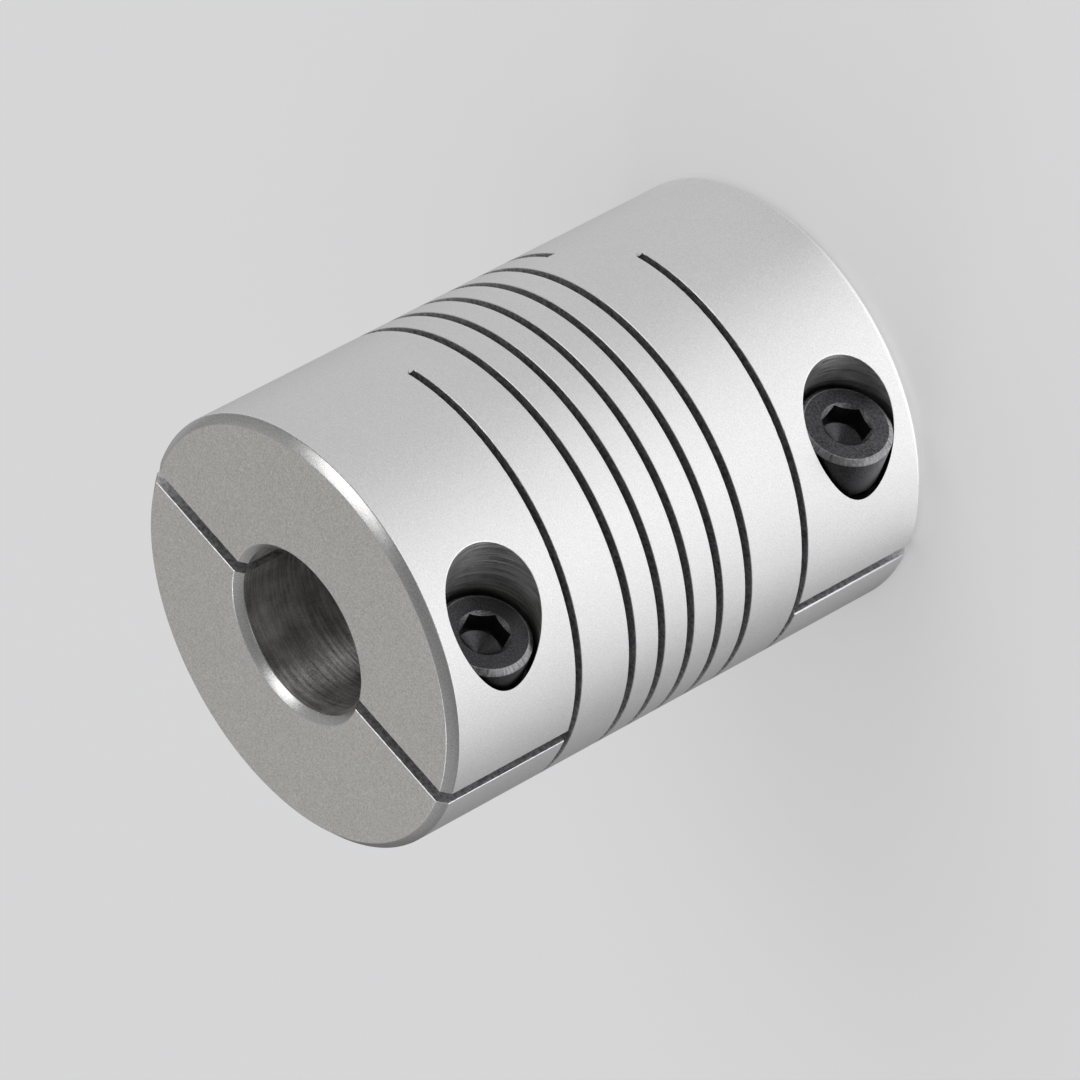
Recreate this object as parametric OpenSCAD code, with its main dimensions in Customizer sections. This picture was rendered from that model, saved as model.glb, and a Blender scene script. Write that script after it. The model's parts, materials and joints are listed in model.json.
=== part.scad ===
// One-piece helical-beam coupling with a clamp hub at each end, for joining an encoder to a shaft.
// It stands on its end: the axis is Z, both clamp slits lie in the XZ plane and open wide
// towards +X, and both clamp screws are driven in from the +Y side.

/* [Body] */
// Outer diameter of the coupling
body_d = 26; // [24:0.5:34]
// Overall length
body_l = 35; // [32:0.5:50]
// Chamfer round the rim of each end face
rim_chamfer = 0.5; // [0.2:0.1:1]

/* [Shaft bores] */
// Diameter of the bore in each hub
bore_d = 10; // [6:0.5:11]
// Chamfer at the mouth of each bore
bore_chamfer = 0.45; // [0.2:0.05:0.8]
// How much wider the bore is between the two hubs, on the diameter
beam_relief = 1; // [0.4:0.2:3]

/* [Clamp hubs] */
// Length of each hub, from its end face to its relief slot
hub_l = 8.9; // [8:0.1:9.3]
// Width of the slit that lets a hub close on its shaft
slit_w = 0.9; // [0.5:0.1:1.5]
// Width of the relief slot that frees a hub from the beams
relief_w = 0.45; // [0.3:0.05:0.8]
// How far past the axis the relief slot is cut
relief_reach = 5.2; // [4:0.1:6.5]

/* [Beams] */
// Rise of the helical cut in one turn
helix_rise = 2.15; // [1.6:0.05:3]
// Width of the helical cut
helix_w = 0.5; // [0.3:0.05:0.8]
// Solid ring left between a relief slot and the nearest end of the helical cut
collar_l = 2.28; // [1.5:0.01:3]
// Where the helical cut crosses the middle of the body, in degrees round from +X
helix_phase = -6; // [-180:1:180]

/* [Clamp screws] */
// Nominal diameter of the screws' thread
thread_d = 3; // [2.5:0.1:3.2]
// Length of a screw under its head
screw_l = 10; // [8:0.5:11]
// Diameter of the head
head_d = 5.5; // [4.5:0.1:5.7]
// Height of the head
head_h = 3; // [2.5:0.1:3.5]
// Chamfer round the top of the head
head_chamfer = 0.28; // [0.1:0.02:0.5]
// Width across the flats of the hexagon socket
socket_w = 2.5; // [2:0.1:3]
// Depth of the hexagon socket
socket_depth = 1.5; // [1:0.1:1.8]
// Chamfer at the thread's tip
tip_chamfer = 0.4; // [0.2:0.1:0.6]
// Distance from a screw's axis to the body's surface, on the side where the screws are
screw_edge = 4.4; // [3.8:0.1:4.8]
// Height of the head's seat above the slit's middle plane
seat_h = 4.4; // [3:0.1:5]
// How far the upper screw is turned out of its seat
upper_screw_out = 0; // [0:0.05:2]
// How far the lower screw is turned out of its seat
lower_screw_out = 1.75; // [0:0.05:2]
// Angle that the upper screw's socket has stopped at, in degrees
upper_screw_turn = -3; // [-30:1:30]
// Angle that the lower screw's socket has stopped at, in degrees
lower_screw_turn = -12; // [-30:1:30]

/* [Fits] */
// Difference in diameter between the counterbore and the head
counterbore_play = 0.5; // [0.2:0.1:0.8]
// Difference in diameter between the through hole and the thread
through_play = 0.4; // [0.2:0.1:0.8]
// Difference in diameter between the tapped hole and the thread
thread_play = 0.06; // [0.04:0.02:0.1]
// Room left under the tip of a screw that is screwed right in, before the drill's point
tip_room = 0.5; // [0.3:0.1:0.8]

/* [Hidden] */
$fn = 96;
eps = 0.01;

body_r = body_d / 2;
bore_r = bore_d / 2;
beam_r = bore_r + beam_relief / 2;
// A screw's distance from the coupling's axis, and from the end face that is nearest to it:
// the screws stand in the middle of their hubs
screw_offset = body_r - screw_edge;
screw_inset = hub_l / 2;
// A cutting tool starts and stops this far outside the surface that it cuts
tool_clear = 1;

// One turn in degrees, and how many flat pieces each wall of the helical cut has in it
turn = 360;
facets_per_turn = 30;
facets_per_runout = 6;

// Both hubs have the same cuts: the upper one's are the lower one's, mirrored in the middle plane
module both_hubs() {
    children();
    translate([0, 0, body_l]) mirror([0, 0, 1]) children();
}

// The turned blank: a chamfered cylinder with a shaft bore at each end, relieved between them
module turned_blank() {
    relief_start = hub_l + relief_w / 2;
    rotate_extrude()
        polygon([
            [bore_r + bore_chamfer, 0],
            [body_r - rim_chamfer, 0],
            [body_r, rim_chamfer],
            [body_r, body_l - rim_chamfer],
            [body_r - rim_chamfer, body_l],
            [bore_r + bore_chamfer, body_l],
            [bore_r, body_l - bore_chamfer],
            [bore_r, body_l - relief_start],
            [beam_r, body_l - relief_start],
            [beam_r, relief_start],
            [bore_r, relief_start],
            [bore_r, bore_chamfer]
        ]);
}

// The slit across a hub's face and down to its relief slot, and the relief slot itself
module hub_slots() {
    reach = body_r + tool_clear;
    translate([-reach, -slit_w / 2, -tool_clear])
        cube([2 * reach, slit_w, tool_clear + hub_l + relief_w / 2]);
    translate([-relief_reach, -reach, hub_l])
        cube([relief_reach + reach, 2 * reach, relief_w]);
}

// The counterbore, through hole and blind tapped hole of one clamp screw, along Y
module screw_holes() {
    tapped_depth = screw_l - seat_h + tip_room;
    tapped_r = (thread_d + thread_play) / 2;
    translate([screw_offset, 0, screw_inset]) rotate([-90, 0, 0]) {
        translate([0, 0, seat_h])
            cylinder(d = head_d + counterbore_play, h = body_r + tool_clear);
        cylinder(d = thread_d + through_play, h = seat_h + eps);
        translate([0, 0, -tapped_depth])
            cylinder(r = tapped_r, h = tapped_depth + eps);
        // The cone that the drill's point leaves, 120 degrees wide
        translate([0, 0, -tapped_depth - tapped_r * tan(30)])
            cylinder(r1 = 0, r2 = tapped_r, h = tapped_r * tan(30));
    }
}

// The helical cut goes through the wall into the bore, and at each end its floor runs out
// to the surface in a straight line. cut_floor_r is the floor's distance from the axis, in a
// direction that is a degrees past the end of the full depth.
cut_depth_r = bore_r - tool_clear / 2;
cut_outer_r = body_r + tool_clear;
function cut_floor_r(a) = cut_depth_r / cos(a);
surface_angle = acos(cut_depth_r / body_r);
runout_angle = acos(cut_depth_r / (body_r + tool_clear / 2));

// Half the angle that the cut takes on the body's surface, and half of what is at full depth
half_cut_l = body_l / 2 - hub_l - relief_w - collar_l - helix_w / 2;
half_surface_angle = turn * half_cut_l / helix_rise;
half_deep_angle = half_surface_angle - surface_angle;

// Stations along the cut, each as [its angle from the middle, the floor's distance from the axis]
deep_steps = ceil(2 * half_deep_angle * facets_per_turn / turn);
runout_steps = [for (i = [1 : facets_per_runout]) runout_angle * i / facets_per_runout];
deep_stations = [for (i = [0 : deep_steps]) [half_deep_angle * (2 * i / deep_steps - 1), cut_depth_r]];
last_stations = [for (a = runout_steps) [half_deep_angle + a, cut_floor_r(a)]];
first_stations = [
    for (i = [facets_per_runout - 1 : -1 : 0]) [-last_stations[i][0], last_stations[i][1]]
];
helix_stations = concat(first_stations, deep_stations, last_stations);

// The cut's square section at one station, in order round its edge
function cut_section(station) =
    let (a = helix_phase + station[0], z = body_l / 2 + helix_rise * station[0] / turn, h = helix_w / 2)
        [for (c = [[station[1], -h], [cut_outer_r, -h], [cut_outer_r, h], [station[1], h]])
            [c[0] * cos(a), c[0] * sin(a), z + c[1]]];

// What the saw clears: a square-edged, right-handed thread whose root runs out at both ends
module helical_cut() {
    sections = [for (station = helix_stations) cut_section(station)];
    last = len(sections) - 1;
    n = len(sections[0]);
    walls = [
        for (i = [0 : last - 1], k = [0 : n - 1])
            let (p = n * i + k, q = n * i + (k + 1) % n)
                for (t = [[p, q, p + n], [q, q + n, p + n]]) t
    ];
    first_cap = [for (k = [n - 1 : -1 : 0]) k];
    last_cap = [for (k = [0 : n - 1]) n * last + k];
    polyhedron(
        points = [for (s = sections) each s],
        faces = concat(walls, [first_cap, last_cap]),
        convexity = 12
    );
}

module coupling_body() {
    color([0.80, 0.80, 0.79])
    difference() {
        turned_blank();
        both_hubs() {
            hub_slots();
            screw_holes();
        }
        helical_cut();
    }
}

// A socket-head cap screw, seated at the origin with its thread along -Z and its socket turned
module cap_screw(socket_turn) {
    head_r = head_d / 2;
    thread_r = thread_d / 2;
    socket_corner_r = socket_w / 2 / cos(30);
    drill_point_h = socket_w / 4;
    // Half the height of the cone turned at the socket's mouth, which is as wide as it is high
    mouth = 0.12;
    difference() {
        rotate_extrude()
            polygon([
                [0, -screw_l],
                [thread_r - tip_chamfer, -screw_l],
                [thread_r, tip_chamfer - screw_l],
                [thread_r, 0],
                [head_r, 0],
                [head_r, head_h - head_chamfer],
                [head_r - head_chamfer, head_h],
                [0, head_h]
            ]);
        translate([0, 0, head_h - socket_depth]) rotate([0, 0, socket_turn])
            cylinder(r = socket_corner_r, h = socket_depth + eps, $fn = 6);
        translate([0, 0, head_h - socket_depth - drill_point_h])
            cylinder(r1 = 0, r2 = socket_w / 2, h = drill_point_h + eps);
        translate([0, 0, head_h - mouth])
            cylinder(r1 = socket_corner_r - mouth, r2 = socket_corner_r + mouth, h = 2 * mouth);
    }
}

module placed_screw(z, out, socket_turn) {
    color([0.12, 0.12, 0.13])
    translate([screw_offset, seat_h + out, z]) rotate([-90, 0, 0]) cap_screw(socket_turn);
}

module upper_clamp_screw() {
    placed_screw(body_l - screw_inset, upper_screw_out, upper_screw_turn);
}

module lower_clamp_screw() {
    placed_screw(screw_inset, lower_screw_out, lower_screw_turn);
}

coupling_body();
upper_clamp_screw();
lower_clamp_screw();
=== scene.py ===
# Encoder coupling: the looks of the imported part, built round it in the part's own frame.
# Shapes are worked out in millimetres and brought to metres when each piece is finished.
import json
from math import acos, ceil, cos, degrees, hypot, pi, radians, sin, sqrt, tan

import bmesh
import bpy
from mathutils import Matrix, Vector, noise


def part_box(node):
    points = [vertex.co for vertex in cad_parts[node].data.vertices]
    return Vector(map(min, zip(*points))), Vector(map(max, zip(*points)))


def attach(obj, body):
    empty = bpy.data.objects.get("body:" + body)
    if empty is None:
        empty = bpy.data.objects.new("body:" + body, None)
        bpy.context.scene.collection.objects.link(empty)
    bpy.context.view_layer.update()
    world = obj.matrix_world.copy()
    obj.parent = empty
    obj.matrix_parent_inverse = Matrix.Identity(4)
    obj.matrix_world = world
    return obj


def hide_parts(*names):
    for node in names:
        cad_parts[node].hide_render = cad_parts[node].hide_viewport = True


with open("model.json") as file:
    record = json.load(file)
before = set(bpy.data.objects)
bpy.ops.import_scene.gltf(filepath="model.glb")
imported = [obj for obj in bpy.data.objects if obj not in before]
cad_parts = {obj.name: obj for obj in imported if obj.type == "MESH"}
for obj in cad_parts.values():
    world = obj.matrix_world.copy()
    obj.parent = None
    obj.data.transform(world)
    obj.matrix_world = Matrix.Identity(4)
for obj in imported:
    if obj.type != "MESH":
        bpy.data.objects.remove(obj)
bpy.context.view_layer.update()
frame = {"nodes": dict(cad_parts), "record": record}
mm = 0.001
print("frame loaded: nodes", sorted(frame["nodes"]))

mounts = {m["name"]: m for m in frame["record"]["mounts"]}
bodyLow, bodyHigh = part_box("coupling_body")
upperLow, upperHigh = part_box("upper_clamp_screw")
boreMount = mounts["lower_bore"]

# all lengths are in millimetres and all angles in degrees, unless a note says otherwise
coupling = {
    "radius": (bodyHigh.x - bodyLow.x) / 2 / mm,
    "length": (bodyHigh.z - bodyLow.z) / mm,
    "rimChamfer": 0.5,
    "boreRadius": boreMount["dims"]["r_mm"],
    "boreChamfer": 0.45,
    "beamRelief": 0.5,        # how much wider the bore's radius is between the hubs
    "hubLength": boreMount["pos_m"][2] / mm + boreMount["dims"]["length_mm"] / 2,
    "slitWidth": 0.9,
    "reliefWidth": 0.45,
    "reliefReach": 5.2,       # how far past the axis a relief slot is cut
    "helixRise": 2.15,
    "helixWidth": 0.5,
    "collar": 2.28,           # solid ring between a relief slot and the helix
    "helixPhase": -6.0,       # where the helix crosses the middle, round from +X
    "helixFloor": 4.5,        # radius of the helical slot's floor, inside the bore
    "runOutInset": 0.3,       # the floor runs out as far as this inside the cutter's outer radius
    "lip": 0.03,              # broken edge of the relief slots, the helix and the counterbores
    "slitLips": (0.075, 0.038),  # broken edge of the lower and of the upper hub's slit
    "slitSeeds": (19.0, 7.0),    # where their unevenness is taken from
    "reliefSeed": 3.0,
    "ragged": 0.02,           # how unevenly the slits' and the relief slots' edges were broken
    "slitStep": 0.25,         # distance between two places on a slit's edge
    "slitSink": 0.005,        # how far inside the surface that edge's line runs
    "ease": 0.04,             # rounding of the turned edges
    "clear": 1.0,             # how far a cutter starts outside the surface that it cuts
    "facets": 360,
    "reliefFacets": 240,
}

headHeight = 3.0
screws = {
    "offset": (upperLow.x + upperHigh.x) / 2 / mm,
    "headRadius": (upperHigh.x - upperLow.x) / 2 / mm,
    "headHeight": headHeight,
    "shankLength": (upperHigh.y - upperLow.y) / mm - headHeight,
    "threadRadius": 1.5,
    "pitch": 0.5,
    "threadDepth": 0.3,
    "threadStart": 0.9,       # plain neck under the head
    "threadWidths": (0.2, 0.875, 0.92),  # of the groove: floor, surface and just outside, in pitches
    "threadProud": 0.02,      # how far outside that is
    "threadRunOut": 38.0,
    "threadPhase": 0.4,       # in radians
    "threadStations": 721,
    "headChamfer": 0.28,
    "socketWidth": 2.5,
    "socketDepth": 1.5,
    "socketMouth": 0.06,      # how far the turned mouth is wider than the hexagon's corners
    "mouthSlope": 0.7,        # how deep that mouth would be in 1 mm
    "tipChamfer": 0.4,
    "ease": 0.04,
    "facets": 120,
    "cutterTop": 0.5,         # how far the socket's cutter starts above the head
    "counterboreRadius": 3.0,
    "throughRadius": 1.7,
    "tappedRadius": 1.53,
    "tappedDepth": 6.1,
    "drillTip": 0.01,         # radius that stands for a drill's point
    "flare": 0.9,             # how far the counterbore's chamfer is cut on outside the body
    "seat": upperHigh.y / mm - headHeight,
    "upperTurn": -3.0,        # where the sockets have stopped
    "lowerTurn": -12.0,
}
hair = 0.001                  # next to nothing: a radius at an axis, or a shift off another face
sliver = 0.002                # the least that two radii of one cutter differ by


def freshMesh(name, bm):
    mesh = bpy.data.meshes.new(name)
    bm.to_mesh(mesh)
    bm.free()
    piece = bpy.data.objects.new(name, mesh)
    bpy.context.scene.collection.objects.link(piece)
    return piece


def loft(name, sections, closed=False):
    # a solid skin over rings that all have the same number of points
    bm = bmesh.new()
    rings = [[bm.verts.new(p) for p in section] for section in sections]
    count = len(rings[0])
    pairs = list(zip(rings, rings[1:]))
    if closed:
        pairs.append((rings[-1], rings[0]))
    for one, two in pairs:
        for i in range(count):
            j = (i + 1) % count
            bm.faces.new((one[i], one[j], two[j], two[i]))
    if not closed:
        bm.faces.new(rings[0])
        bm.faces.new(rings[-1])
    bmesh.ops.recalc_face_normals(bm, faces=bm.faces)
    return freshMesh(name, bm)


def circle(radius, height, facets, offset=0.5):
    # the offset is a share of a facet, and keeps the edges of two cutters from lying on each other
    turns = [2 * pi * (i + offset) / facets for i in range(facets)]
    return [Vector((radius * cos(a), radius * sin(a), height)) for a in turns]


def eased(outline, size, closed):
    # each corner of the outline gives way to a small arc of three points
    result = []
    count = len(outline)
    for i, (x, y) in enumerate(outline):
        point = Vector((x, y))
        if not closed and i in (0, count - 1):
            result.append(point)
            continue
        before = (Vector(outline[i - 1]) - point).normalized()
        after = (Vector(outline[(i + 1) % count]) - point).normalized()
        first, last = point + before * size, point + after * size
        middle = (first + last) / 4 + point / 2
        result += [first, middle, last]
    return [(p.x, p.y) for p in result]


def removeObjects(*pieces):
    for piece in pieces:
        mesh = piece.data
        bpy.data.objects.remove(piece)
        bpy.data.meshes.remove(mesh)


class Quantity:
    # a number that flows through a node tree, so that formulas read as they do on paper
    def __init__(self, tree, socket):
        self.tree = tree
        self.socket = socket

    def calc(self, operation, *others):
        node = self.tree.nodes.new("ShaderNodeMath")
        node.operation = operation
        for slot, value in zip(node.inputs, (self,) + others):
            feed(self.tree, value, slot)
        return Quantity(self.tree, node.outputs[0])

    def __add__(self, other):
        return self.calc("ADD", other)

    def __sub__(self, other):
        return self.calc("SUBTRACT", other)

    def __mul__(self, other):
        return self.calc("MULTIPLY", other)

    def __truediv__(self, other):
        return self.calc("DIVIDE", other)

    def ramp(self, low, high, start, end):
        node = self.tree.nodes.new("ShaderNodeMapRange")
        for name, value in (("Value", self), ("From Min", low), ("From Max", high),
                            ("To Min", start), ("To Max", end)):
            feed(self.tree, value, node.inputs[name])
        return Quantity(self.tree, node.outputs[0])


def feed(tree, value, socket):
    if isinstance(value, Quantity):
        tree.links.new(value.socket, socket)
    elif isinstance(value, bpy.types.NodeSocket):
        tree.links.new(value, socket)
    else:
        socket.default_value = value


def addNode(tree, kind, settings=None, **inputs):
    node = tree.nodes.new(kind)
    for name, value in (settings or {}).items():
        setattr(node, name, value)
    for name, value in inputs.items():
        feed(tree, value, node.inputs[name.replace("_", " ")])
    return node


def geometryTree(name, inputs):
    # a tree with named inputs; returns it, its group input node and its output socket
    tree = bpy.data.node_groups.new(name, "GeometryNodeTree")
    tree.interface.new_socket("Geometry", in_out="OUTPUT", socket_type="NodeSocketGeometry")
    tree.interface.new_socket("Geometry", in_out="INPUT", socket_type="NodeSocketGeometry")
    for label, kind in inputs.items():
        tree.interface.new_socket(label, in_out="INPUT", socket_type="NodeSocket" + kind)
    source = tree.nodes.new("NodeGroupInput")
    target = tree.nodes.new("NodeGroupOutput")
    return tree, source, target.inputs["Geometry"]


helixInputs = {
    "Rise": "Float", "Turns": "Float", "Phase": "Float", "Middle": "Float", "Stations": "Int",
    "Floor Radius": "Float", "Lip Radius": "Float", "Outer Radius": "Float",
    "Floor Width": "Float", "Lip Width": "Float", "Outer Width": "Float", "Run Out": "Float",
    "Material": "Material",
}


def makeHelixCutTree():
    # What a saw or thread tool clears along a right-handed helix. A subdivided block is bent round
    # the axis: its X is the angle, its Y runs from the outside to the floor, its Z is the width.
    tree, source, result = geometryTree("helixCut", helixInputs)
    given = {s.name: Quantity(tree, s) for s in source.outputs if s.type in ("VALUE", "INT")}
    block = addNode(tree, "GeometryNodeMeshCube", Size=(1.0, 1.0, 1.0), Vertices_Y=3, Vertices_Z=2)
    feed(tree, given["Stations"], block.inputs["Vertices X"])
    place = addNode(tree, "ShaderNodeSeparateXYZ")
    tree.links.new(addNode(tree, "GeometryNodeInputPosition").outputs[0], place.inputs[0])
    along, across, side = (Quantity(tree, s) for s in place.outputs)
    angle = along * given["Turns"] * (2 * pi)
    # past the full depth the floor runs out in a straight line, at a tangent to its circle
    past = (angle.calc("ABSOLUTE") - given["Turns"] * pi + given["Run Out"]).calc("MAXIMUM", 0.0)
    floor = given["Floor Radius"] / past.calc("COSINE")
    lip = given["Lip Radius"].calc("MAXIMUM", floor + sliver)
    outer = given["Outer Radius"].calc("MAXIMUM", lip + sliver)
    # the block has three rows across it, at 0.5, 0 and -0.5
    isFloor = across.calc("GREATER_THAN", 0.25)
    isOuter = across.calc("LESS_THAN", -0.25)
    radius = lip + isFloor * (floor - lip) + isOuter * (outer - lip)
    inner = radius.ramp(given["Floor Radius"], given["Lip Radius"], given["Floor Width"],
                        given["Lip Width"])
    flare = radius.ramp(given["Lip Radius"], given["Outer Radius"], 0.0,
                        given["Outer Width"] - given["Lip Width"])
    around = angle + given["Phase"]
    height = given["Middle"] + angle * given["Rise"] / (2 * pi) + side * (inner + flare)
    point = addNode(tree, "ShaderNodeCombineXYZ")
    feed(tree, radius * around.calc("COSINE"), point.inputs["X"])
    feed(tree, radius * around.calc("SINE"), point.inputs["Y"])
    feed(tree, height, point.inputs["Z"])
    bent = addNode(tree, "GeometryNodeSetPosition", Geometry=block.outputs["Mesh"],
                   Position=point.outputs[0])
    cut = addNode(tree, "GeometryNodeMeshBoolean", {"operation": "DIFFERENCE", "solver": "MANIFOLD"})
    tree.links.new(source.outputs["Geometry"], cut.inputs["Mesh 1"])
    tree.links.new(bent.outputs[0], cut.inputs["Mesh 2"])
    whole = addNode(tree, "GeometryNodeRealizeInstances", Geometry=cut.outputs["Mesh"])
    painted = addNode(tree, "GeometryNodeSetMaterial", Geometry=whole.outputs[0])
    tree.links.new(source.outputs["Material"], painted.inputs["Material"])
    tree.links.new(painted.outputs[0], result)
    return tree


helixCut = makeHelixCutTree()


def finishTree(piece, name, tree, values):
    # sets the inputs by identifier, evaluates once and keeps the result as a plain mesh
    modifier = piece.modifiers.new(name, "NODES")
    modifier.node_group = tree
    for item in tree.interface.items_tree:
        if item.in_out == "INPUT" and item.name in values:
            modifier[item.identifier] = values[item.name]
    solid = bpy.data.objects.new(name, evaluatedMesh(piece))
    bpy.context.scene.collection.objects.link(solid)
    removeObjects(piece)
    return solid


def evaluatedMesh(piece):
    graph = bpy.context.evaluated_depsgraph_get()
    return bpy.data.meshes.new_from_object(piece.evaluated_get(graph))


def subtract(piece, cutter):
    modifier = piece.modifiers.new("cut", "BOOLEAN")
    modifier.operation = "DIFFERENCE"
    modifier.solver = "MANIFOLD"
    modifier.object = cutter
    mesh = evaluatedMesh(piece)
    piece.modifiers.remove(modifier)
    old = piece.data
    piece.data = mesh
    bpy.data.meshes.remove(old)
    removeObjects(cutter)


def breakEdge(name, path, inward, side, slotWidth, depths):
    # a V that is cut along the middle of a slot, and takes both of its edges off
    proud = coupling["clear"]
    sections = []
    for point, normal, depth in zip(path, inward, depths):
        apex = depth + slotWidth / 2
        half = (apex + proud) * side
        base = point - normal * proud
        sections.append([point + normal * apex, base + half, base - half])
    return loft(name, sections)


def ragged(lip, place, seed):
    # long swells and half as high short ones
    swell = noise.noise(Vector((place * 3.1, seed, 0.0)))
    ripple = noise.noise(Vector((place * 9.7, seed, 4.0)))
    return lip + coupling["ragged"] * (swell + 0.5 * ripple)


def hubPoint(x, y, z, top):
    # the upper hub's cuts are the lower one's, mirrored in the middle plane
    return Vector((x, y, coupling["length"] - z if top else z))


def slitEdge():
    # the line that a slit's V follows, in the slit's plane: up one side of the lower hub, over the
    # rim's chamfer, across the face and down; with the way into the metal at each of its points
    c = coupling
    side, rim = c["radius"] - c["slitSink"], c["rimChamfer"]
    bottom = c["hubLength"] + c["reliefWidth"] / 2
    corners = [(side, bottom), (side, rim), (side - rim, 0.0)]
    corners += [(-x, z) for x, z in reversed(corners)]
    corners = [Vector(corner) for corner in corners]
    ways = [(b - a).normalized() for a, b in zip(corners, corners[1:])]
    flats = [Vector((w.y, -w.x)) for w in ways]
    mitres = [(a + b) / (a + b).dot(b) for a, b in zip(flats[:1] + flats, flats + flats[-1:])]
    path, inward = [], []
    for i, (a, b) in enumerate(zip(corners, corners[1:])):
        steps = max(1, round((b - a).length / c["slitStep"]))
        path += [a.lerp(b, s / steps) for s in range(steps)]
        inward += [mitres[i]] + [flats[i]] * (steps - 1)
    return path + corners[-1:], inward + mitres[-1:]


def cutSlit(body, top):
    c = coupling
    reach, half = c["radius"] + c["clear"], c["slitWidth"] / 2
    bottom = c["hubLength"] + c["reliefWidth"] / 2
    corners = [(-reach, -half), (reach, -half), (reach, half), (-reach, half)]
    slab = [[hubPoint(x, y, z, top) for x, y in corners] for z in (-c["clear"], bottom)]
    subtract(body, loft("slitCutter", slab))
    path, inward = slitEdge()
    lip, seed = c["slitLips"][top], c["slitSeeds"][top]
    depths = [ragged(lip, (i + 1) * c["slitStep"], seed) for i in range(len(path))]
    path = [hubPoint(p.x, 0.0, p.y, top) for p in path]
    inward = [Vector((n.x, 0.0, -n.y if top else n.y)) for n in inward]
    subtract(body, breakEdge("slitEdges", path, inward, Vector((0, 1, 0)), c["slitWidth"], depths))


def cutReliefSlot(body, top):
    c = coupling
    r, reach, steps = c["radius"], c["radius"] + c["clear"], c["reliefFacets"]
    end = acos(-c["reliefReach"] / reach)
    turns = [end * (2 * i / steps - 1) for i in range(steps + 1)]
    heights = (c["hubLength"], c["hubLength"] + c["reliefWidth"])
    slab = [[hubPoint(reach * cos(a), reach * sin(a), z, top) for a in turns] for z in heights]
    subtract(body, loft("reliefCutter", slab))
    # the V has a point in every whole degree, and thins out past both ends of the slot
    end = acos(-c["reliefReach"] / r)
    past = (c["lip"] + c["reliefWidth"] / 2) / r
    turns = [radians(degree) for degree in range(ceil(-degrees(end)), ceil(degrees(end)))]
    turns = [-end - past] + turns + [end + past]
    middle = c["hubLength"] + c["reliefWidth"] / 2
    path = [hubPoint(r * cos(a), r * sin(a), middle, top) for a in turns]
    inward = [Vector((-cos(a), -sin(a), 0)) for a in turns]
    depths = [ragged(c["lip"], a * r, c["reliefSeed"]) for a in turns]
    depths[0] = depths[-1] = sliver - c["reliefWidth"] / 2
    subtract(body, breakEdge("reliefEdges", path, inward, Vector((0, 0, 1)), c["reliefWidth"], depths))


def cutScrewHole(body, top):
    c, s = coupling, screws
    inset = c["hubLength"] / 2
    turns = [2 * pi * i / s["facets"] for i in range(s["facets"])]

    def place(radius, a, height):
        return hubPoint(s["offset"] + radius * cos(a), height, inset + radius * sin(a), top)

    def ring(radius, height):
        return [place(radius, a, height) for a in turns]

    def mouth(radius, above):
        # follows the round outside of the body, where the counterbore opens
        edges = [s["offset"] + s["counterboreRadius"] * cos(a) for a in turns]
        return [place(radius, a, sqrt(c["radius"] ** 2 - x ** 2) + above) for a, x in zip(turns, edges)]

    lip, flare = c["lip"], s["flare"]
    drillPoint = s["tappedRadius"] * tan(radians(30))
    rings = [
        ring(s["drillTip"], -s["tappedDepth"] - drillPoint),
        ring(s["tappedRadius"], -s["tappedDepth"]),
        ring(s["tappedRadius"], 0.0),
        ring(s["throughRadius"], 0.0),
        ring(s["throughRadius"], s["seat"]),
        ring(s["counterboreRadius"], s["seat"]),
        mouth(s["counterboreRadius"], -lip),
        mouth(s["counterboreRadius"] + lip + flare, flare),
        ring(s["counterboreRadius"] + lip + flare, c["radius"] + 2 * c["clear"]),
    ]
    subtract(body, loft("screwHoleCutter", rings))


def makeBlank():
    c = coupling
    R, L, b = c["radius"], c["length"], c["boreRadius"]
    rim, mouth = c["rimChamfer"], c["boreChamfer"]
    wide, step = b + c["beamRelief"], c["hubLength"] + c["reliefWidth"] / 2
    outside = eased([
        (b, step), (b, mouth), (b + mouth, 0), (R - rim, 0), (R, rim),
        (R, L - rim), (R - rim, L), (b + mouth, L), (b, L - mouth), (b, L - step),
    ], c["ease"], closed=False)
    outline = outside + [(wide, L - step), (wide, step)]
    return loft("blank", [circle(r, z, c["facets"]) for r, z in outline], closed=True)


def makeBody(material):
    c = coupling
    body = makeBlank()
    half = c["length"] / 2 - c["hubLength"] - c["reliefWidth"] - c["collar"] - c["helixWidth"] / 2
    outer = c["radius"] + c["clear"]
    # the slot meets the surface where its straight floor does, and the cutter goes on to outside it
    surface = 2 * pi * half / c["helixRise"]
    runOut = acos(c["helixFloor"] / (outer - c["runOutInset"]))
    full = surface - acos(c["helixFloor"] / c["radius"]) + runOut
    body = finishTree(body, "couplingBody", helixCut, {
        "Rise": c["helixRise"], "Turns": full / pi, "Phase": radians(c["helixPhase"]),
        "Middle": c["length"] / 2, "Stations": 2 * round(degrees(full)) + 1,
        "Floor Radius": c["helixFloor"], "Lip Radius": c["radius"] - c["lip"], "Outer Radius": outer,
        "Floor Width": c["helixWidth"], "Lip Width": c["helixWidth"],
        "Outer Width": c["helixWidth"] + 2 * (c["lip"] + c["clear"]), "Run Out": runOut,
        "Material": material,
    })
    for top in (False, True):
        cutReliefSlot(body, top)
        cutSlit(body, top)
        cutScrewHole(body, top)
    return body


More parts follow.
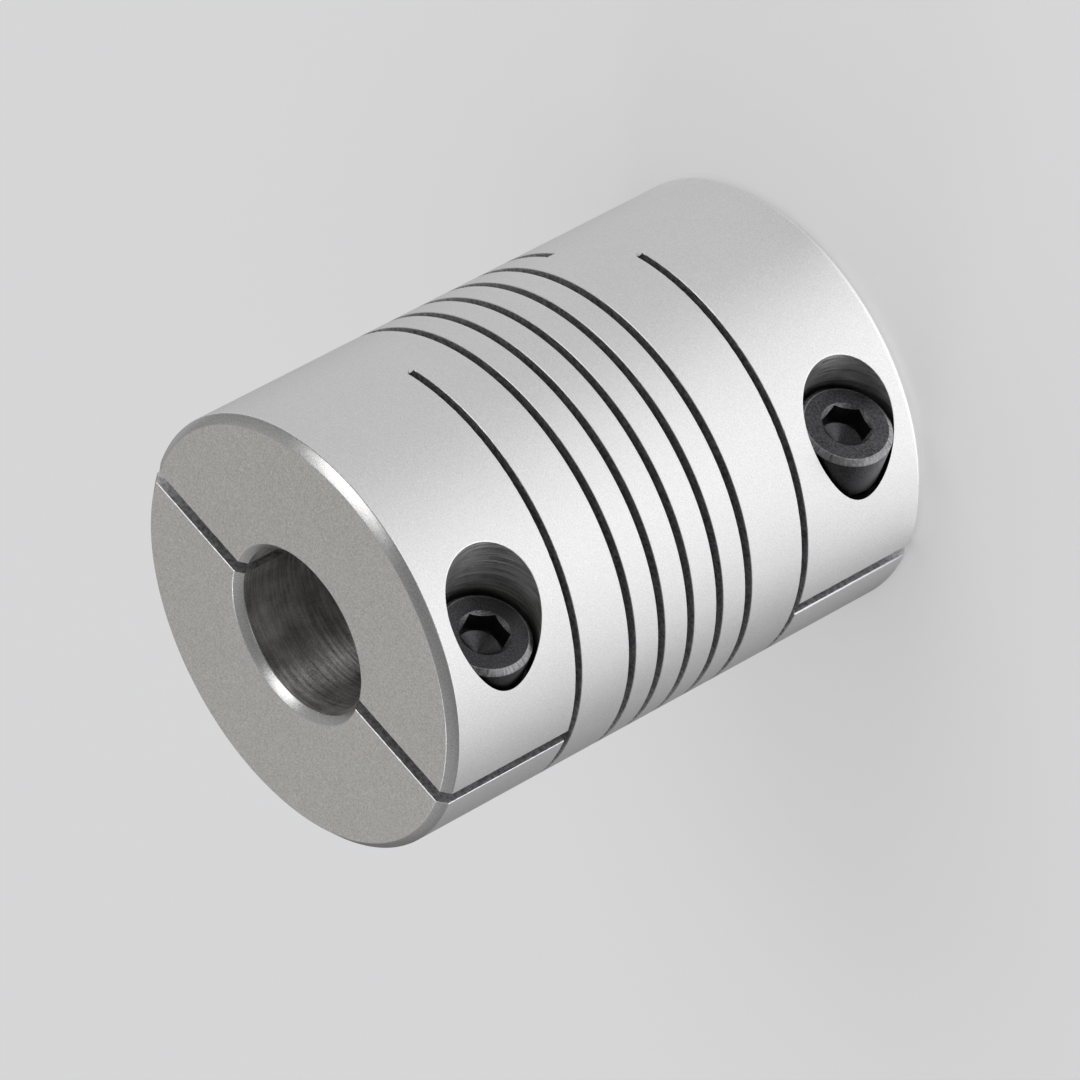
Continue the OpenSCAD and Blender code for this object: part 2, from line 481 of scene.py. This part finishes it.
def makeScrew(name, node, turn, material):
    # made upright on its own axis, then laid along +Y where the frame has the screw
    s = screws
    low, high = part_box(node)
    r, shank, tip = s["threadRadius"], s["shankLength"], s["tipChamfer"]
    wide, head, chamfer = s["headRadius"], s["headHeight"], s["headChamfer"]
    outline = eased([
        (hair, -shank), (r - tip, -shank), (r, tip - shank), (r, -hair),
        (wide, 0), (wide, head - chamfer), (wide - chamfer, head), (hair, head),
    ], s["ease"], closed=False)
    screw = loft("screwBlank", [circle(x, z, s["facets"], 0.25) for x, z in outline])
    floorWidth, lipWidth, outerWidth = (share * s["pitch"] for share in s["threadWidths"])
    screw = finishTree(screw, name, helixCut, {
        "Rise": s["pitch"], "Turns": (shank - s["threadStart"]) / s["pitch"] + 1.0,
        "Phase": s["threadPhase"], "Middle": -(shank + s["threadStart"] + s["pitch"]) / 2,
        "Stations": s["threadStations"], "Floor Radius": r - s["threadDepth"], "Lip Radius": r,
        "Outer Radius": r + s["threadProud"], "Floor Width": floorWidth, "Lip Width": lipWidth,
        "Outer Width": outerWidth, "Run Out": radians(s["threadRunOut"]), "Material": material,
    })
    corner = s["socketWidth"] / 2 / cos(radians(30))
    bottom = head - s["socketDepth"]
    hexagon = [circle(corner, z, 6, 0) for z in (bottom, head + s["cutterTop"])]
    stopped = Matrix.Rotation(radians(turn), 3, "Z")
    for point in hexagon[0] + hexagon[1]:
        point.rotate(stopped)
    subtract(screw, loft("socketCutter", hexagon))
    half = s["socketWidth"] / 2
    drill = [(s["drillTip"], bottom - half / 2), (half, bottom), (half, head)]
    subtract(screw, loft("drillCutter", [circle(x, z, s["facets"], 0.1) for x, z in drill]))
    # a shallow cone turned round the socket's mouth, a little wider than the hexagon
    mouth, slope = corner + s["socketMouth"], s["mouthSlope"]
    cone = [(mouth - 1.0, head - slope), (mouth + 1.0, head + slope)]
    subtract(screw, loft("mouthCutter", [circle(x, z, s["facets"], 0.6) for x, z in cone]))
    lay = Matrix.Rotation(radians(-90), 4, "X")
    place = Vector(((low.x + high.x) / 2, high.y, (low.z + high.z) / 2)) / mm - Vector((0, head, 0))
    screw.data.transform(Matrix.Translation(place) @ lay)
    return screw


def smooth(piece, angle):
    piece.data.shade_smooth()
    piece.data.set_sharp_from_angle(angle=radians(angle))


def trueNormals(piece, names, rule):
    # the turned surfaces are shaded by their exact shape: rule gives the normal of a point on a face
    # with this finish, or nothing where the smoothed one is right
    mesh = piece.data
    normals = [(0, 0, 0)] * len(mesh.loops)
    for face in mesh.polygons:
        for loop in face.loop_indices:
            point = mesh.vertices[mesh.loops[loop].vertex_index].co
            exact = rule(names[face.material_index], point, face.normal)
            if exact is not None:
                normals[loop] = exact.normalized()
    mesh.normals_split_custom_set(normals)


def toMetres(piece):
    piece.data.transform(Matrix.Scale(mm, 4))
    piece.data.update()


def coordinates(tree, axis):
    # where a point lies, in mm: its distance from a turning axis, its way round it and its height
    # along it. The screws' axes are alike, mirrored in the body's middle plane.
    place = addNode(tree, "ShaderNodeSeparateXYZ")
    scaled = addNode(tree, "ShaderNodeMapping", Scale=(1 / mm, 1 / mm, 1 / mm))
    tree.links.new(addNode(tree, "ShaderNodeTexCoord").outputs["Object"], scaled.inputs["Vector"])
    tree.links.new(scaled.outputs[0], place.inputs[0])
    x, y, z = (Quantity(tree, s) for s in place.outputs)
    if axis == "screw":
        middle = coupling["length"] / 2
        inset = coupling["hubLength"] / 2
        x, y, z = x - screws["offset"], (z - middle).calc("ABSOLUTE") + (inset - middle), y
    away = (x * x + y * y).calc("SQRT")
    return scaled.outputs[0], away, y.calc("ARCTAN2", x), z


def overHead(tree, where, height):
    # how far a point is above the head of the screw that is nearest to it, in mm
    place = addNode(tree, "ShaderNodeSeparateXYZ")
    tree.links.new(where, place.inputs[0])
    upper = Quantity(tree, place.outputs["Z"]).calc("GREATER_THAN", coupling["length"] / 2)
    heads = [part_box(name + "_clamp_screw")[1].y / mm for name in ("lower", "upper")]
    return height - (upper * (heads[1] - heads[0]) + heads[0])


def metalFinish(name, looks):
    # grain is a fine speckle; marks are the long scratches that a tool leaves round its axis
    material = bpy.data.materials.new(name)
    material.use_nodes = True
    tree = material.node_tree
    shader = tree.nodes["Principled BSDF"]
    shader.inputs["Metallic"].default_value = 1.0
    where, away, around, height = coordinates(tree, looks["axis"])

    grain = addNode(tree, "ShaderNodeTexNoise", Vector=where, Scale=1 / looks["grainSize"],
                    Detail=3.0, Roughness=0.6)
    grain = Quantity(tree, grain.outputs["Fac"]) - 0.5
    patches = addNode(tree, "ShaderNodeTexNoise", Vector=where, Scale=1 / looks["patchSize"],
                      Detail=2.0)
    patches = Quantity(tree, patches.outputs["Fac"]) - 0.5
    streak = addNode(tree, "ShaderNodeCombineXYZ")
    feed(tree, away / looks["markWidth"], streak.inputs["X"])
    feed(tree, height / looks["markWidth"], streak.inputs["Y"])
    feed(tree, around * looks["markRepeat"], streak.inputs["Z"])
    marks = addNode(tree, "ShaderNodeTexNoise", Vector=streak.outputs[0], Scale=1.0, Detail=3.0,
                    Roughness=0.65)
    marks = Quantity(tree, marks.outputs["Fac"]) - 0.5

    light = grain * looks["grainShade"] + patches * looks["patchShade"]
    light = light + marks * looks["markShade"] + 1.0
    # painted shade: the colour darkens towards the screw's head, between the given heights over it
    if "oil" in looks:
        low, high, left = looks["oil"]
        light = light * overHead(tree, where, height).ramp(low, high, left, 1.0)
    colour = addNode(tree, "ShaderNodeVectorMath", {"operation": "SCALE"})
    colour.inputs[0].default_value = looks["colour"]
    feed(tree, light, colour.inputs["Scale"])
    tree.links.new(colour.outputs[0], shader.inputs["Base Color"])
    rough = grain * looks["grainRough"] + marks * looks["markRough"] + looks["rough"]
    feed(tree, rough.calc("MINIMUM", 1.0), shader.inputs["Roughness"])
    relief = grain * looks["grainDepth"] + marks * looks["markDepth"]
    bump = addNode(tree, "ShaderNodeBump", Distance=mm, Strength=1.0)
    feed(tree, relief, bump.inputs["Height"])
    tree.links.new(bump.outputs[0], shader.inputs["Normal"])
    if "stretch" in looks:
        # turning marks spread a reflection across themselves, along the body's axis
        tangent = addNode(tree, "ShaderNodeTangent", {"direction_type": "RADIAL", "axis": "Z"})
        tree.links.new(tangent.outputs[0], shader.inputs["Tangent"])
        shader.inputs["Anisotropic"].default_value = looks["stretch"]
        shader.inputs["Anisotropic Rotation"].default_value = 0.25
    return material


# sizes are in mm; a shade is how strongly a pattern changes the colour, a depth how deep it is
plain = {
    "axis": "body", "colour": (0.80, 0.795, 0.79), "rough": 0.5, "patchSize": 6.0, "patchShade": 0.05,
    "grainSize": 0.08, "grainShade": 0.5, "grainRough": 0.1, "grainDepth": 0.015,
    "markWidth": 0.06, "markRepeat": 3.0, "markShade": 0.02, "markRough": 0.0, "markDepth": 0.0,
}
finishes = {
    "outside": {**plain},
    "endFace": {**plain, "colour": (0.78, 0.755, 0.73), "grainShade": 1.2},
    "chamfer": {**plain, "rough": 0.29, "grainShade": 0.9, "grainDepth": 0.006, "markDepth": 0.004,
                "markShade": 0.3},
    # its colour, darker than the outside's aluminium, is painted shade inside the bore
    "bore": {**plain, "colour": (0.53, 0.517, 0.505), "rough": 0.52, "stretch": 0.92,
             "grainDepth": 0.003, "grainShade": 1.2, "markShade": 1.5, "markRough": 0.5,
             "markDepth": 0.006, "markWidth": 0.12, "markRepeat": 1.5, "patchShade": 1.1,
             "patchSize": 1.0},
    "sawn": {**plain, "colour": (0.70, 0.70, 0.71), "rough": 0.45, "grainSize": 0.25, "grainShade": 2.0,
             "markShade": 0.5, "markDepth": 0.004},
    "edge": {**plain, "colour": (0.80, 0.80, 0.80), "rough": 0.38, "grainShade": 1.0,
             "grainDepth": 0.004},
    # painted shade darkens a counterbore between these heights over the screw's head, to this share
    # its colour, lighter than the outside's aluminium, is painted light on the counterbore's walls
    "counterbore": {**plain, "axis": "screw", "colour": (0.93, 0.915, 0.90), "rough": 0.42,
                    "grainDepth": 0.006, "grainShade": 0.8, "markShade": 1.6, "markRough": 0.5,
                    "markDepth": 0.010, "markWidth": 0.16, "markRepeat": 1.0, "patchShade": 0.9,
                    "patchSize": 1.4, "oil": (-0.4, 1.5, 0.36)},
}
blackOxide = {**plain, "axis": "screw", "colour": (0.06, 0.06, 0.063), "rough": 0.42, "grainSize": 0.1,
              "grainShade": 3.0, "grainDepth": 0.012, "patchShade": 0.5, "patchSize": 1.5}
screwFinishes = {
    "headTop": {**blackOxide},
    # the black has worn off the corners of the head; their lighter colour is partly a painted highlight
    "worn": {**blackOxide, "colour": (0.25, 0.25, 0.255), "rough": 0.42, "markWidth": 0.6,
             "markRepeat": 20.0, "markShade": 2.2, "markDepth": 0.012, "grainShade": 1.4},
    "mouth": {**blackOxide, "colour": (0.13, 0.13, 0.133), "rough": 0.42, "grainShade": 3.0},
    "headSide": {**blackOxide, "markDepth": 0.004, "markWidth": 0.1},
    "socket": {**blackOxide, "colour": (0.09, 0.09, 0.093), "rough": 0.36, "grainShade": 2.0},
    "thread": {**blackOxide, "rough": 0.34},
}


# how a face's finish is told from where it lies and which way it looks; ways are cosines
told = {
    "on": 0.01,               # a face this close to a surface lies on it
    "exactly": 0.001,
    "eased": 0.06,            # the rounded edges of a chamfer reach this far past it
    "nearRim": 0.7,
    "nearBore": 0.6,
    "edgeZone": 0.1,          # a broken edge is no further than this from an end face
    "straight": 0.995,        # looking straight out of a surface
    "nearlyStraight": 0.99,
    "rimSlope": 0.2,          # the rim's chamfer looks outwards by more than this
    "boreSlope": 0.05,        # and the bore's inwards
    "mouthSlopes": (0.6, 0.97),
    "mouthDepth": 0.3,
}


def bodyFinish(centre, normal):
    # which tool made this face
    c, s = coupling, screws
    x, y, z = centre / mm
    away = hypot(x, y)
    outward = (normal.x * x + normal.y * y) / away
    toEnd = min(z, c["length"] - z)
    fromScrew = hypot(x - s["offset"], toEnd - c["hubLength"] / 2)
    bore = c["boreRadius"]
    if outward > told["straight"] and away > c["radius"] - told["on"]:
        return "outside"
    if abs(normal.z) > told["straight"] and toEnd < told["exactly"]:
        return "endFace"
    if toEnd < c["rimChamfer"] + told["eased"] and away > c["radius"] - told["nearRim"]:
        slopes = abs(abs(normal.z) - abs(outward)) < told["nearlyStraight"]
        if slopes and abs(outward) > told["rimSlope"]:
            return "chamfer"
    if toEnd < c["boreChamfer"] + told["eased"] and bore - told["on"] < away < bore + told["nearBore"]:
        if outward < -told["boreSlope"]:
            return "chamfer"
    if away < bore + c["beamRelief"] + told["on"] and outward < -told["nearlyStraight"]:
        return "bore"
    if y > s["seat"] - told["on"] and fromScrew < s["counterboreRadius"] + told["on"]:
        return "counterbore"
    if away > c["radius"] - 3 * c["lip"] or toEnd < told["edgeZone"]:
        return "edge"
    return "sawn"


def screwFinish(top):
    # what has happened to each face of a screw whose head ends at this height
    s = screws
    corner = s["socketWidth"] / 2 / cos(radians(30))
    worn = s["headChamfer"] + s["ease"]
    drilled = s["socketDepth"] + s["socketWidth"] / 4
    low, high = told["mouthSlopes"]

    def choose(centre, normal):
        x, y, z = centre / mm
        inset = min(z, coupling["length"] - z) - coupling["hubLength"] / 2
        away, below = hypot(x - s["offset"], inset), top - y
        if below < sliver and normal.y > told["nearlyStraight"]:
            return "headTop"
        # the head's rounded corners: worn-off black, partly a painted highlight
        if below < worn and away > s["headRadius"] - worn:
            return "worn"
        inMouth = away < corner + s["socketMouth"] and below < told["mouthDepth"]
        if inMouth and low < normal.y < high:
            return "mouth"
        if away < corner and below < drilled + told["on"]:
            return "socket"
        return "headSide" if below < s["headHeight"] + told["on"] else "thread"

    return choose


def paintByFace(piece, choose, materials):
    mesh = piece.data
    mesh.materials.clear()
    order = list(materials)
    for name in order:
        mesh.materials.append(materials[name])
    for face in mesh.polygons:
        face.material_index = order.index(choose(face.center, face.normal))


def bodyNormal(finish, point, flat):
    if finish == "outside":
        return Vector((point.x, point.y, 0))
    if finish == "bore":
        return Vector((-point.x, -point.y, 0))
    return flat if finish == "endFace" else None


def screwNormal(finish, point, flat):
    return flat if finish in ("headTop", "socket") else None


def finishPiece(piece, choose, materials, rule, node):
    toMetres(piece)
    smooth(piece, 30)
    paintByFace(piece, choose, materials)
    trueNormals(piece, list(materials), rule)
    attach(piece, "root")
    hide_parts(node)
    print(piece.name, "made:", len(piece.data.polygons), "faces")


aluminium = {name: metalFinish(name + "Aluminium", looks) for name, looks in finishes.items()}
steel = {name: metalFinish(name + "Steel", looks) for name, looks in screwFinishes.items()}

body = makeBody(aluminium["outside"])
finishPiece(body, bodyFinish, aluminium, bodyNormal, "coupling_body")

for name in ("upper", "lower"):
    node = name + "_clamp_screw"
    screw = makeScrew(name + "ClampScrew", node, screws[name + "Turn"], steel["headSide"])
    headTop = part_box(node)[1].y / mm
    finishPiece(screw, screwFinish(headTop), steel, screwNormal, node)

camera = {
    "target": (1.479, -0.692, 18.235),
    "distance": 485.07,
    "azimuth": 154.923,       # round from -Y, counterclockwise from above
    "elevation": 31.997,
    "roll": 117.918,
    "lens": 290.35,
    "sensor": 36.0,
    "clip": (0.01, 20.0),     # in metres
}


def makeCamera():
    data = bpy.data.cameras.new("camera")
    data.lens = camera["lens"]
    data.sensor_width = camera["sensor"]
    data.clip_start, data.clip_end = camera["clip"]
    eye = bpy.data.objects.new("camera", data)
    bpy.context.scene.collection.objects.link(eye)
    a, e = radians(camera["azimuth"]), radians(camera["elevation"])
    back = Vector((sin(a) * cos(e), -cos(a) * cos(e), sin(e)))
    place = (Vector(camera["target"]) + back * camera["distance"]) * mm
    roll = Matrix.Rotation(-radians(camera["roll"]), 3, "Z")
    turn = (-back).to_track_quat("-Z", "Y").to_matrix() @ roll
    eye.matrix_world = Matrix.Translation(place) @ turn.to_4x4()
    bpy.context.scene.camera = eye


makeCamera()
print("camera placed")

# metal sees a floor and a room of its own, lighter on one side and darker on another, which stand for
# the studio round the real part; on the floor these are painted light and shade, with a painted pool of
# light, painted dark behind and a painted shadow under the part; all else sees them plain and pale
studio = {
    "floorSize": 3.0,         # in metres
    "floorColour": (0.80, 0.80, 0.81),
    "floorGlow": 0.35,        # how much of the floor's brightness doesn't depend on the lamps
    "floorShare": 0.85,       # the same for the floor that metal sees
    "nearGlow": 0.93,         # what metal sees of the floor round the part
    "farGlow": 0.08,          # and behind it, painted dark where a real studio falls off
    "darkWay": 266.0,         # which way that is, round from +X
    "darkFrom": 0.25,         # cosine of the angle from there at which the floor starts to darken
    "brightGlow": 1.0,        # a painted pool of light: how much brighter the floor is towards the key light
    "brightWay": 40.0,
    "brightFrom": 0.35,
    "frontWay": 65.0,         # the way that the part is looked at from
    "narrowing": 0.5,         # how much more closely these parts lie about it at the part's foot
    "worldLight": 0.62,       # the room's light on all else
    "roomWay": (-0.35, -0.80, 0.48),  # where the room is lighter to metal
    "roomSeen": (0.17, 0.41),     # how light it is to metal away from there and there
    "roomReach": 0.94,        # cosine of the angle from there within which it is lightest
    "horizonShare": 0.5,      # how much of that is left at the horizon
    "horizonTop": 0.4,        # sine of the elevation that this ends at
}
lamps = {
    # direction from the part, distance and size in metres, power in watts
    "keyPanel": {"towards": (0.73, 0.57, 0.33), "distance": 1.0, "size": 0.55, "power": 0.4},
    "topPanel": {"towards": (-0.38, 0.55, 0.68), "distance": 0.9, "size": 0.50, "power": 1.3},
    "edgeLamp": {"towards": (0.14, -0.58, 0.79), "distance": 0.9, "size": 0.15, "power": 0.35},
}


def rayIs(tree, *kinds):
    # 1 for a ray of any of these kinds
    path = tree.nodes.new("ShaderNodeLightPath")
    total = Quantity(tree, path.outputs["Is " + kinds[0] + " Ray"])
    for kind in kinds[1:]:
        total = total.calc("MAXIMUM", Quantity(tree, path.outputs["Is " + kind + " Ray"]))
    return total


def floorSeenByMetal(tree):
    s = studio
    place = addNode(tree, "ShaderNodeSeparateXYZ")
    tree.links.new(addNode(tree, "ShaderNodeTexCoord").outputs["Object"], place.inputs[0])
    x, y = (Quantity(tree, place.outputs[axis]) for axis in "XY")
    away = (x * x + y * y).calc("SQRT")
    edge = coupling["radius"] * mm
    # close to the part its round side mirrors the floor at a wider angle than farther out, so the
    # painted light and dark parts of the floor narrow towards it
    front = radians(s["frontWay"])
    turned = (y * cos(front) - x * sin(front)).calc("ARCTAN2", x * cos(front) + y * sin(front))
    narrowing = (away.calc("MAXIMUM", edge) / edge).calc("POWER", -2.0) * s["narrowing"] + 1.0
    mirrored = (turned * narrowing).calc("MINIMUM", pi).calc("MAXIMUM", -pi)

    def turnedTo(way):
        return (mirrored + (front - radians(way))).calc("COSINE")

    seen = turnedTo(s["darkWay"]).ramp(s["darkFrom"], 1.0, s["nearGlow"], s["farGlow"])
    seen = seen + turnedTo(s["brightWay"]).ramp(s["brightFrom"], 1.0, 0.0, s["brightGlow"])
    # painted shadow: metal sees the floor dark under the part
    return seen * away.ramp(coupling["boreRadius"] * mm, edge - coupling["rimChamfer"] * mm, 0.0, 1.0)


def makeFloor():
    bm = bmesh.new()
    bmesh.ops.create_grid(bm, x_segments=1, y_segments=1, size=studio["floorSize"] / 2)
    floor = freshMesh("studioFloor", bm)
    material = bpy.data.materials.new("paleFloor")
    material.use_nodes = True
    tree = material.node_tree
    tree.nodes.clear()
    colour = (*studio["floorColour"], 1)
    matt = addNode(tree, "ShaderNodeBsdfDiffuse", Color=colour)
    strength = (floorSeenByMetal(tree) - 1.0) * rayIs(tree, "Glossy", "Transmission") + 1.0
    glow = addNode(tree, "ShaderNodeEmission", Color=colour, Strength=strength)
    share = rayIs(tree, "Camera") * studio["floorGlow"]
    share = share.calc("MAXIMUM", rayIs(tree, "Glossy", "Transmission") * studio["floorShare"])
    mix = tree.nodes.new("ShaderNodeMixShader")
    feed(tree, share, mix.inputs[0])
    tree.links.new(matt.outputs[0], mix.inputs[1])
    tree.links.new(glow.outputs[0], mix.inputs[2])
    addNode(tree, "ShaderNodeOutputMaterial", Surface=mix.outputs[0])
    floor.data.materials.append(material)


def makeWorld():
    s = studio
    world = bpy.data.worlds.new("studio")
    world.use_nodes = True
    tree = world.node_tree
    background = tree.nodes["Background"]
    place = addNode(tree, "ShaderNodeSeparateXYZ")
    tree.links.new(addNode(tree, "ShaderNodeTexCoord").outputs["Generated"], place.inputs[0])
    x, y, z = (Quantity(tree, way) for way in place.outputs)
    ahead = Vector(s["roomWay"]).normalized()
    towards = x * ahead.x + y * ahead.y + z * ahead.z
    seen = towards.ramp(0.0, s["roomReach"], *s["roomSeen"])
    seen = seen * z.ramp(0.0, s["horizonTop"], s["horizonShare"], 1.0)
    light = rayIs(tree, "Glossy", "Transmission") * (seen - s["worldLight"]) + s["worldLight"]
    feed(tree, light, background.inputs["Strength"])
    background.inputs["Color"].default_value = (1, 1, 1, 1)
    bpy.context.scene.world = world


def makeLamps():
    for name, lamp in lamps.items():
        data = bpy.data.lights.new(name, "AREA")
        data.energy = lamp["power"]
        data.size = lamp["size"]
        holder = bpy.data.objects.new(name, data)
        bpy.context.scene.collection.objects.link(holder)
        way = Vector(lamp["towards"]).normalized()
        holder.location = way * lamp["distance"]
        holder.rotation_euler = (-way).to_track_quat("-Z", "Y").to_euler()


makeFloor()
makeWorld()
makeLamps()
bpy.context.scene.view_settings.view_transform = "Standard"
print("studio set up")
